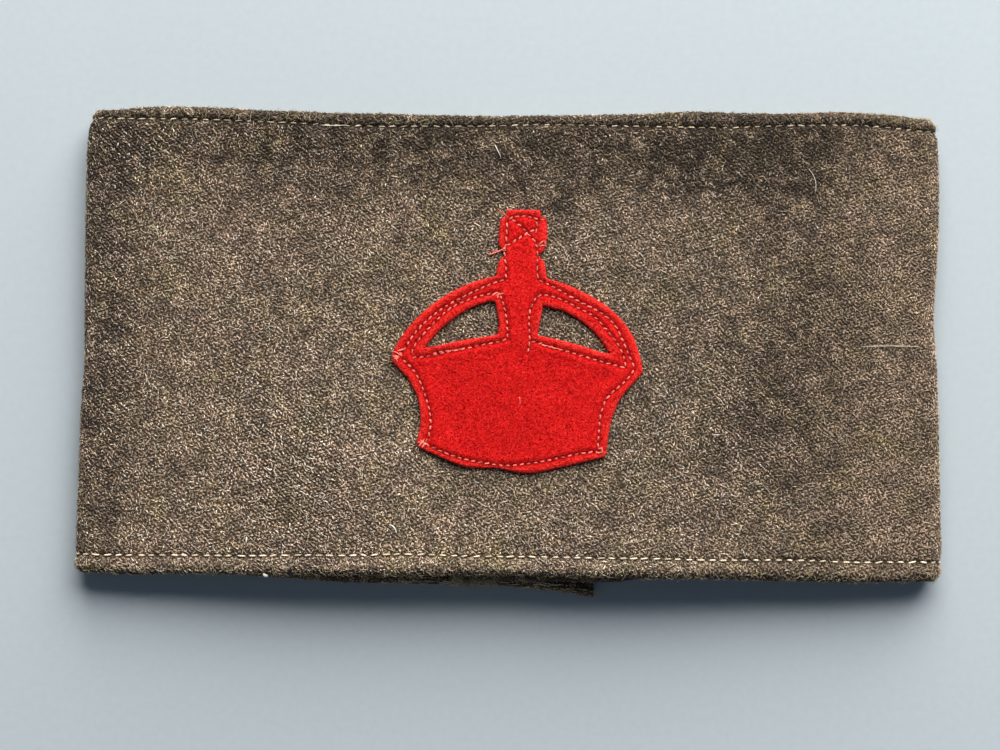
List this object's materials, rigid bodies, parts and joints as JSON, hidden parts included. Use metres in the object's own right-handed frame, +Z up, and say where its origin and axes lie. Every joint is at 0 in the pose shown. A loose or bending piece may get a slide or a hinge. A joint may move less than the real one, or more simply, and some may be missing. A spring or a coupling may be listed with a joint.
{
  "type": "armband",
  "caption": "Flat-pressed wool serge armband loop with turned-in stitched hems, a lapped join at the back and a red felt crown sewn on the front.",
  "frame": {"origin": "on the floor under the middle of the whole armband as it lies", "axes": "+X to the right of the crown, along the pressed width from fold to fold; +Y toward the hem above the crown, along the arm; +Z up, out of the front face"},
  "size_m": [0.191, 0.1076, 0.0159],
  "materials": {
    "serge": "milled khaki wool serge, matt, short hairy nap over a twill",
    "crown_felt": "thick red wool felt, matt, short dense nap"
  },
  "bodies": {
    "root": {"serge_band": "serge", "crown_patch": "crown_felt"}
  },
  "joints": []
}
